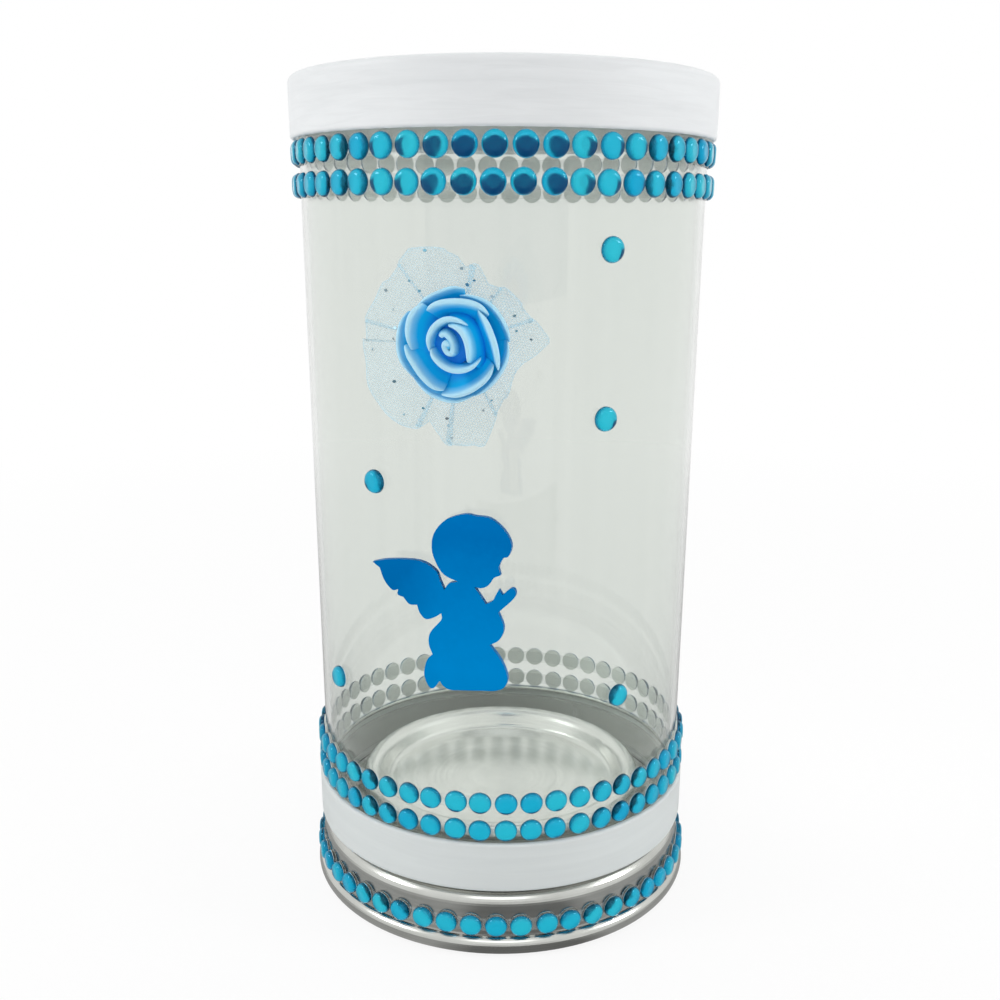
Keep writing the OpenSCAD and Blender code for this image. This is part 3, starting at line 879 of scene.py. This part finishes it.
def makeGlitter():
    finish, tree, surface = newFinish("glitterFlake")
    colour = blendColour(tree, stored(tree, "tone"), glitter["blue"], glitter["silver"])
    tree.links.new(colour, surface.inputs["Base Color"])
    grain = useGroup(tree, fineGrain, Scale=glitter["grain"])
    tree.links.new(ramp(tree, grain["Tone"], *glitter["rough"]), surface.inputs["Roughness"])
    surface.inputs["Metallic"].default_value = 1.0
    points, faces, tones = [], [], []
    rings = tulle["rings"]
    for number in range(glitter["count"]):
        spoke = int((number + chance.uniform(*glitter["spokes"])) / glitter["count"] * spokeCount)
        ring = int(rings * chance.uniform(*glitter["rings"]))
        at = tullePoints[spoke * (rings + 1) + ring] / mm
        azimuth = math.degrees(math.atan2(at.x, -at.y))
        place = sideFrame(azimuth, at.z, math.hypot(at.x, at.y) + glitter["stand"])
        place = place @ Matrix.Rotation(unevenly(chance, glitter["tilt"]), 4, "X")
        place = place @ Matrix.Rotation(unevenly(chance, glitter["tilt"]), 4, "Y")
        place = place @ Matrix.Scale(mm, 4)
        size = glitter["radius"] * chance.uniform(*glitter["sizes"])
        first = len(points)
        levels = [(size, 0.0), (size, glitter["thickness"])]
        shapePoints, shapeFaces = closedRings(levels, glitter["sides"], glitter["flat"])
        points.extend(place @ Vector(p) for p in shapePoints)
        faces.extend(tuple(first + i for i in face) for face in shapeFaces)
        tones.extend([chance.random()] * len(shapePoints))
    flakes = makePiece("tulle_glitter", points, faces, [finish])
    storeValues(flakes, "tone", tones)
    return flakes


flakes = makeGlitter()
print("tulle and glitter laid")


angel = {
    # low is the colour at the foot and high at the head: a painted reflection, darker upwards and towards the
    # wing's tip, set by heights, wing and wingShare
    "azimuth": -14, "low": (0.0, 0.39, 1.0), "high": (0.0, 0.19, 0.57), "edge": (0.0, 0.16, 0.45),
    "edgeDim": 0.8, "heights": (70, 100), "wing": (-13, -24), "wingShare": 0.45, "wander": 0.3,
    "grain": 700.0, "faceRough": 0.12, "edgeRough": 0.3, "spread": 0.05,
    "facing": 0.9, "bevel": 0.2, "bevelFrom": 50, "gloss": 0.1,
}


def makeMirrorFace(name, low, high, roughness, metallic):  # painted reflection: darker towards the head and the wing's tip, for the dimmer surroundings that the plate shows there
    finish, tree, surface = newFinish(name)
    grain = useGroup(tree, fineGrain, Scale=angel["grain"])
    parts = split(tree, objectPlace(tree))
    paintedReflectionUp = ramp(tree, parts[2], 0.0, 1.0, *(z * mm for z in angel["heights"]))
    paintedReflectionWing = ramp(tree, parts[0], 0.0, angel["wingShare"], *(x * mm for x in angel["wing"]))
    fade = wanderFrom(tree, calc(tree, "ADD", paintedReflectionUp, paintedReflectionWing), grain["Tone"], angel["wander"])
    tree.links.new(blendColour(tree, fade, low, high), surface.inputs["Base Color"])
    rough = ramp(tree, grain["Tone"], roughness, roughness + angel["spread"])
    tree.links.new(rough, surface.inputs["Roughness"])
    surface.inputs["Metallic"].default_value = metallic
    surface.inputs["Specular IOR Level"].default_value = angel["gloss"]
    return finish


def makeAngel():
    mesh = nodes["angel_plate"].data.copy()
    mesh.name = "angel_figure"
    mesh.materials.clear()
    dimmed = tuple(angel["edgeDim"] * c for c in angel["edge"])
    face = makeMirrorFace("angelFace", angel["low"], angel["high"], angel["faceRough"], 1.0)
    # the edge gets the same painted reflection, dimmed towards the head
    edge = makeMirrorFace("angelEdge", angel["edge"], dimmed, angel["edgeRough"], 0.0)
    mesh.materials.append(face)
    mesh.materials.append(edge)
    piece = addObject("angel_figure", mesh)
    out = sideFrame(angel["azimuth"], 0, 0).col[2].to_3d()
    for polygon in mesh.polygons:
        polygon.material_index = 0 if polygon.normal.dot(out) > angel["facing"] else 1
    rounder = piece.modifiers.new("cutEdge", "BEVEL")
    rounder.width = angel["bevel"] * mm
    rounder.segments = 2
    rounder.limit_method = "ANGLE"
    rounder.angle_limit = math.radians(angel["bevelFrom"])
    rounder.material = 1
    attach(piece, "jar")
    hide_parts("angel_plate")


makeAngel()
print("angel plate finished")


view = {  # height and away are millimetres; focal, centreX and centreY are in units of the picture's 1000
    "height": 161.3, "away": 268.2, "lookDown": 17.67, "roll": 0.25, "focal": 1124.9, "centreX": 501.6,
    "centreY": 580.0, "picture": 1000, "sensor": 36, "nearest": 0.01,
}


def makeCamera():
    data = bpy.data.cameras.new("camera")
    data.sensor_width = view["sensor"]
    data.lens = view["sensor"] * view["focal"] / view["picture"]
    data.shift_x = 0.5 - view["centreX"] / view["picture"]
    data.shift_y = view["centreY"] / view["picture"] - 0.5
    data.clip_start = view["nearest"]
    camera = addObject("camera", data)
    place = Matrix.Translation((0, -view["away"] * mm, view["height"] * mm))
    place = place @ Matrix.Rotation(math.radians(90 - view["lookDown"]), 4, "X")
    camera.matrix_world = place @ Matrix.Rotation(math.radians(view["roll"]), 4, "Z")
    bpy.context.scene.camera = camera


def seenDirectly(tree):  # 1 for what the camera sees, also through clear walls
    path = addNode(tree, "ShaderNodeLightPath").outputs
    return calc(tree, "MAXIMUM", path["Is Camera Ray"], path["Is Transmission Ray"])


room = {  # front and back light the jar, and the floor's glow takes over from its shadow between fade's ends
    "front": 0.26, "back": 0.95, "towards": (-0.9, 0.3), "floor": (0.92, 0.92, 0.92), "nearShare": 0.88,
    "fade": (0.16, 0.6), "floorSize": 3.0, "floorDrop": 0.0001, "floorRough": 0.9,
}
inMetal = {  # the floor as bare metal shows it, with painted shade: dim near the jar, dimmest before it, white far off
    "near": 0.45, "front": 0.2, "frontAngle": 8, "frontHalf": 16, "frontSoft": 12, "fade": (0.1, 0.6),
}


def makeWorld():
    world = bpy.data.worlds.new("room")
    world.use_nodes = True
    bpy.context.scene.world = world
    tree = world.node_tree
    direction = split(tree, addNode(tree, "ShaderNodeTexCoord").outputs["Generated"])
    level = ramp(tree, direction[1], room["front"], room["back"], *room["towards"])
    soft = addNode(tree, "ShaderNodeBackground", {"Color": (1, 1, 1, 1), "Strength": level})
    white = addNode(tree, "ShaderNodeBackground", {"Color": (1, 1, 1, 1), "Strength": 1.0})
    path = addNode(tree, "ShaderNodeLightPath").outputs
    both = addNode(tree, "ShaderNodeMixShader", {
        0: calc(tree, "MAXIMUM", seenDirectly(tree), path["Is Glossy Ray"]),
        1: soft.outputs[0], 2: white.outputs[0]})
    out = tree.nodes.get("World Output") or tree.nodes.new("ShaderNodeOutputWorld")
    tree.links.new(both.outputs[0], out.inputs["Surface"])


def addQuad(name, corners, finish):
    mesh = bpy.data.meshes.new(name)
    mesh.from_pydata(corners, [], [(0, 1, 2, 3)])
    mesh.materials.append(finish)
    return addObject(name, mesh)


def makeFloor():  # its shadow fades into a plain white surround
    finish, tree, surface = newFinish("floorCard")
    surface.inputs["Base Color"].default_value = (*room["floor"], 1)
    surface.inputs["Roughness"].default_value = room["floorRough"]
    surface.inputs["Specular IOR Level"].default_value = 0.0
    glow = addNode(tree, "ShaderNodeEmission", {"Color": (1, 1, 1, 1), "Strength": 1.0})
    place = objectPlace(tree)
    away = addNode(tree, "ShaderNodeVectorMath", {0: place}, operation="LENGTH").outputs["Value"]
    share = ramp(tree, away, room["nearShare"], 1.0, *room["fade"])
    share = calc(tree, "MULTIPLY", seenDirectly(tree), share)
    seen = addNode(tree, "ShaderNodeMixShader", {0: share, 1: surface.outputs[0], 2: glow.outputs[0]})
    parts = split(tree, place)
    facing = calc(tree, "ARCTAN2", parts[0], calc(tree, "MULTIPLY", parts[1], -1.0))
    offMiddle = calc(tree, "ABSOLUTE", calc(tree, "SUBTRACT", facing, math.radians(inMetal["frontAngle"])))
    near = ramp(tree, offMiddle, inMetal["front"], inMetal["near"], math.radians(inMetal["frontHalf"]),
                math.radians(inMetal["frontHalf"] + inMetal["frontSoft"]))
    far = ramp(tree, away, 0.0, 1.0, *inMetal["fade"])
    level = calc(tree, "MULTIPLY_ADD", calc(tree, "SUBTRACT", 1.0, near), far, near)
    # painted shade on the floor, seen only in bare metal
    dim = addNode(tree, "ShaderNodeEmission", {"Color": (1, 1, 1, 1), "Strength": level})
    path = addNode(tree, "ShaderNodeLightPath").outputs
    unglazed = calc(tree, "SUBTRACT", 1.0, path["Is Transmission Ray"])
    mirrored = calc(tree, "MULTIPLY", path["Is Glossy Ray"], unglazed)
    both = addNode(tree, "ShaderNodeMixShader", {0: mirrored, 1: seen.outputs[0], 2: dim.outputs[0]})
    tree.links.new(both.outputs[0], tree.nodes["Material Output"].inputs["Surface"])
    size, z = room["floorSize"], -room["floorDrop"]
    floor = addQuad("floor", [(-size, -size, z), (size, -size, z), (size, size, z), (-size, size, z)], finish)


darkCards = {  # x, y, z of the middle, width, height, colour, and the clear surfaces in front of it
    "cardRoom": (-0.045, -0.42, 0.36, 0.66, 0.48, (0.03, 0.08, 0.2), 2.0),  # shows in the stones only
    "cardLow": (0.05, -0.3, 0.022, 0.24, 0.044, (0.2, 0.2, 0.2), 0.0),
}
passedSlack = 0.2  # how far off the count of surfaces may be, on top of half of it


def makeCard(name, x, y, z, width, height, colour, passed):
    finish, tree = newFinish(name)[:2]
    path = addNode(tree, "ShaderNodeLightPath").outputs
    dim = addNode(tree, "ShaderNodeEmission", {"Color": (*colour, 1), "Strength": 1.0})
    nothing = addNode(tree, "ShaderNodeBsdfTransparent")
    mirrored = calc(tree, "MINIMUM", path["Glossy Depth"], 1.0)
    shown = calc(tree, "COMPARE", path["Transmission Depth"], passed, passed / 2 + passedSlack)
    both = addNode(tree, "ShaderNodeMixShader", {
        0: calc(tree, "MULTIPLY", mirrored, shown), 1: nothing.outputs[0], 2: dim.outputs[0]})
    tree.links.new(both.outputs[0], tree.nodes["Material Output"].inputs["Surface"])
    w, h = width / 2, height / 2
    card = addQuad(name, [(x - w, y, z - h), (x + w, y, z - h), (x + w, y, z + h), (x - w, y, z + h)], finish)
    card.visible_camera = False
    card.visible_diffuse = False
    card.visible_shadow = False


lamps = {  # x, y, z, the height it is aimed at, width, power, and whether its reflection shows
    "lampLeft": (-0.6, -0.2, 0.5, 0.1, 0.2, 1.25, True),
    "lampRight": (0.62, -0.14, 0.46, 0.1, 0.2, 1.15, True),
    "lampTop": (0.0, -0.5, 0.6, 0.1, 0.4, 0.6, True),
    "lampLow": (0.0, -0.75, 0.05, 0.1, 0.1, 0.3, False),
    "lampUnderLid": (0.0, 0.0, 0.12, 0.18, 0.05, 0.038, False),
}


def makeLamp(name, x, y, z, aim, width, power, mirrored):
    data = bpy.data.lights.new(name, "AREA")
    data.size = width
    data.energy = power
    lamp = addObject(name, data)
    lamp.location = (x, y, z)
    lamp.rotation_euler = (Vector((0, 0, aim)) - lamp.location).to_track_quat("-Z", "Y").to_euler()
    lamp.visible_camera = False
    lamp.visible_transmission = False
    lamp.visible_glossy = mirrored


makeCamera()
makeWorld()
makeFloor()
for name, values in darkCards.items():
    makeCard(name, *values)
for name, values in lamps.items():
    makeLamp(name, *values)
bpy.context.scene.view_settings.view_transform = "Standard"
print("camera, lamps and surroundings placed")
